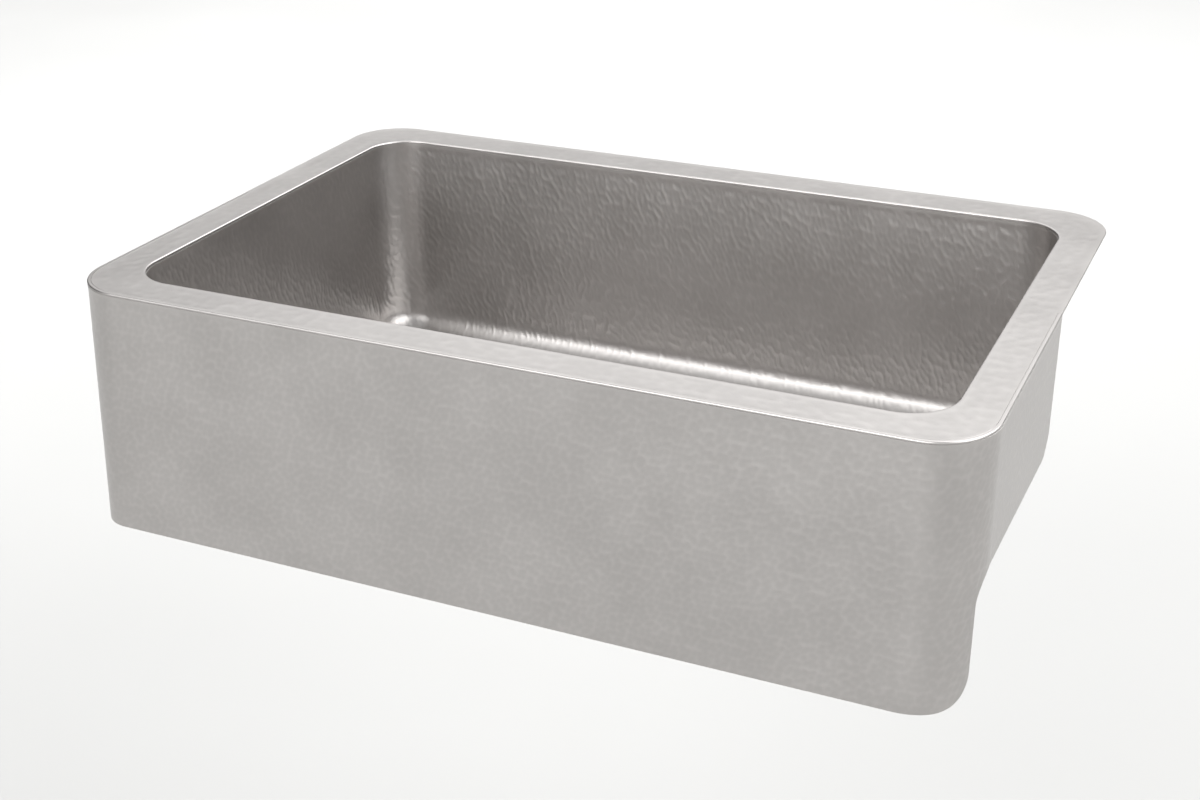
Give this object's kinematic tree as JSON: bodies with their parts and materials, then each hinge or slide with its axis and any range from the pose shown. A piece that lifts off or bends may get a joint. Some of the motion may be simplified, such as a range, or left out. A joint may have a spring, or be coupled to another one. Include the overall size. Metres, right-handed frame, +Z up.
{
  "type": "apron front kitchen sink",
  "caption": "Apron front single-bowl kitchen sink in hammered sheet steel, with a basket strainer, lift-out basket and push-down stopper.",
  "frame": {"origin": "middle of the bowl's opening, on the waste hole's axis, level with the rim's top face", "axes": "+X to the sink's right as seen from the apron's side, +Y from the apron to the back, +Z up"},
  "size_m": [0.8382, 0.5587, 0.4088],
  "materials": {
    "hammered_steel": "hammered satin",
    "folded_steel": "mill",
    "damping_pad": "matte",
    "strainer_steel": "polished",
    "black_rubber": "matte",
    "fibre_washer": "matte",
    "cast_nut": "cast",
    "white_washer": "matte",
    "brass_nut": "satin"
  },
  "bodies": {
    "sink": {"bowl": "hammered_steel", "rim": "hammered_steel", "apron": "hammered_steel", "apron_stiffener": "folded_steel", "apron_brace_left": "folded_steel", "apron_brace_middle": "folded_steel", "apron_brace_right": "folded_steel", "return_bracket_left": "folded_steel", "return_bracket_right": "folded_steel", "base_pad_left": "damping_pad", "base_pad_right": "damping_pad", "side_pad_left": "damping_pad", "side_pad_right": "damping_pad", "back_pad": "damping_pad", "front_pad_left": "damping_pad", "front_pad_right": "damping_pad", "strainer_body": "strainer_steel", "strainer_cross": "strainer_steel", "flange_seal": "black_rubber", "under_washer": "black_rubber", "friction_washer": "fibre_washer", "lock_nut": "cast_nut", "tailpiece": "strainer_steel", "tailpiece_washer": "white_washer", "coupling_nut": "brass_nut"},
    "basket": {"basket_cup": "strainer_steel", "basket_collar": "strainer_steel"},
    "stopper": {"stopper_stem": "strainer_steel", "stopper_knob": "strainer_steel", "stopper_seal": "black_rubber", "stopper_nut": "brass_nut"}
  },
  "joints": [
    {"name": "basket_lift", "type": "slide", "parent": "sink", "child": "basket", "axis": [0, 0, 1], "range_m": [0, 0.12]},
    {"name": "stopper_slide", "type": "slide", "parent": "basket", "child": "stopper", "axis": [0, 0, 1], "range_m": [0, 0.009]}
  ]
}
